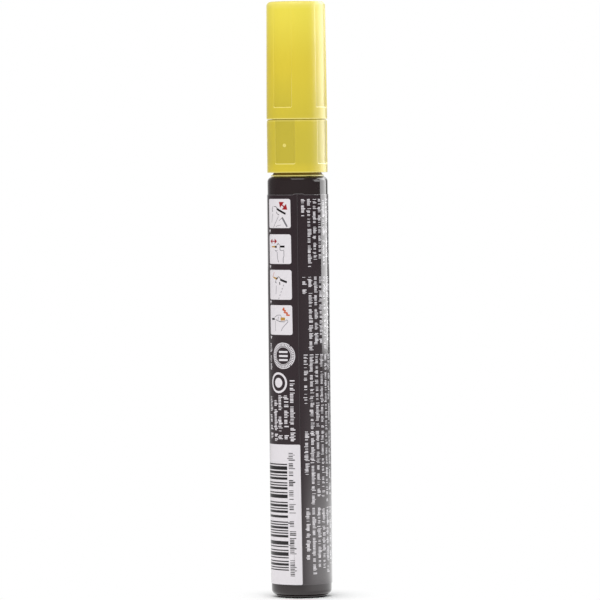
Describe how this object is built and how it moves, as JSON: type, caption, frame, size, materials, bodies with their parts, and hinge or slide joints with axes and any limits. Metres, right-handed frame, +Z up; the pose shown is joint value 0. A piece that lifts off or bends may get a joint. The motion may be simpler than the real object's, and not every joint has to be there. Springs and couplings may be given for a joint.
{
  "type": "permanent marker",
  "caption": "Valve-action paint marker with a round lacquered barrel, sleeved label film, sprung bullet nib, mixing balls and a push-on cap.",
  "frame": {"origin": "centre of the foot ring's resting face, under the barrel's axis", "axes": "+Z up the barrel's axis towards the cap's crown; -Y faces the viewer of the printed column and the striped panel"},
  "size_m": [0.0144, 0.0146, 0.14],
  "materials": {
    "black_lacquer": "gloss black-brown lacquer over drawn aluminium",
    "label_film": "black printed film with white and grey print",
    "yellow_plastic": "semi-gloss moulded yellow",
    "seal_rubber": "matte black",
    "natural_plastic": "natural off-white moulding",
    "nib_fibre": "bonded off-white fibre",
    "bright_steel": "bright steel"
  },
  "bodies": {
    "barrel_body": {"barrel": "black_lacquer", "label_film": "label_film", "front_section": "yellow_plastic", "barrel_seal": "seal_rubber", "nib_holder": "natural_plastic", "valve_gasket": "seal_rubber", "valve_spring": "bright_steel", "valve_cage": "natural_plastic", "spring_retainer": "natural_plastic"},
    "cap": {"cap_shell": "yellow_plastic", "cap_liner": "natural_plastic"},
    "nib": {"nib": "nib_fibre"},
    "valve_stem": {"valve_stem": "natural_plastic"},
    "ball_1": {"mixing_ball_1": "bright_steel"},
    "ball_2": {"mixing_ball_2": "bright_steel"}
  },
  "joints": [
    {"name": "cap_pull", "type": "slide", "parent": "barrel_body", "child": "cap", "axis": [0, 0, 1], "range_m": [0, 0.04]},
    {"name": "nib_press", "type": "slide", "parent": "barrel_body", "child": "nib", "axis": [0, 0, -1], "range_m": [0, 0.0016], "stiffness_N_per_m": 600, "springref_m": -0.003},
    {"name": "valve_open", "type": "slide", "parent": "barrel_body", "child": "valve_stem", "axis": [0, 0, -1], "range_m": [0, 0.0016], "deforming": ["valve_spring"]},
    {"name": "ball_1_lift", "type": "slide", "parent": "barrel_body", "child": "ball_1", "axis": [0, 0, 1], "range_m": [0, 0.071]},
    {"name": "ball_2_lift", "type": "slide", "parent": "barrel_body", "child": "ball_2", "axis": [0, 0, 1], "range_m": [0, 0.071]}
  ],
  "couplings": [
    {"joint": "valve_open", "follows": "nib_press", "ratio": 1}
  ]
}
